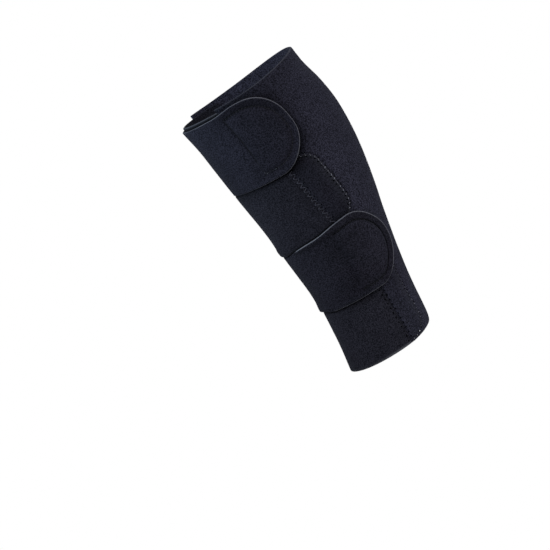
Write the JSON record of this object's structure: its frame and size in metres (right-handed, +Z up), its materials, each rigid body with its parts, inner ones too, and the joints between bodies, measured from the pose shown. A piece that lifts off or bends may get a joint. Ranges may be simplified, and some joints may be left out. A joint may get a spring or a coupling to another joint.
{
  "type": "calf compression wrap",
  "caption": "Soft foam-and-knit wrap worn round the calf, with a front panel and wide round-ended straps that cross the shin and fasten on the outer side with hook pads.",
  "frame": {"origin": "middle of the lower opening, level with the wrap's lower edge", "axes": "+Z up the leg, -X to the shin, +X to the calf, -Y to the outer side of the left leg, +Y to its inner side"},
  "size_m": [0.1422, 0.1273, 0.299],
  "materials": {
    "loop_face_foam": "black foam with a brushed, slightly speckled loop-knit face",
    "smooth_face_foam": "navy-black foam with a fine smooth knit face",
    "strap_foam": "navy-black foam with a fine smooth knit face and pale cut edges",
    "hook_tape": "black woven hook tape",
    "patch_knit": "black knit with an overcast edge"
  },
  "bodies": {
    "root": {"calf_panel": "loop_face_foam", "front_panel": "smooth_face_foam", "upper_strap": "strap_foam", "lower_strap": "strap_foam", "upper_hook_pad": "hook_tape", "lower_hook_pad": "hook_tape", "upper_loop_patch": "patch_knit", "lower_loop_patch": "patch_knit"}
  },
  "joints": []
}
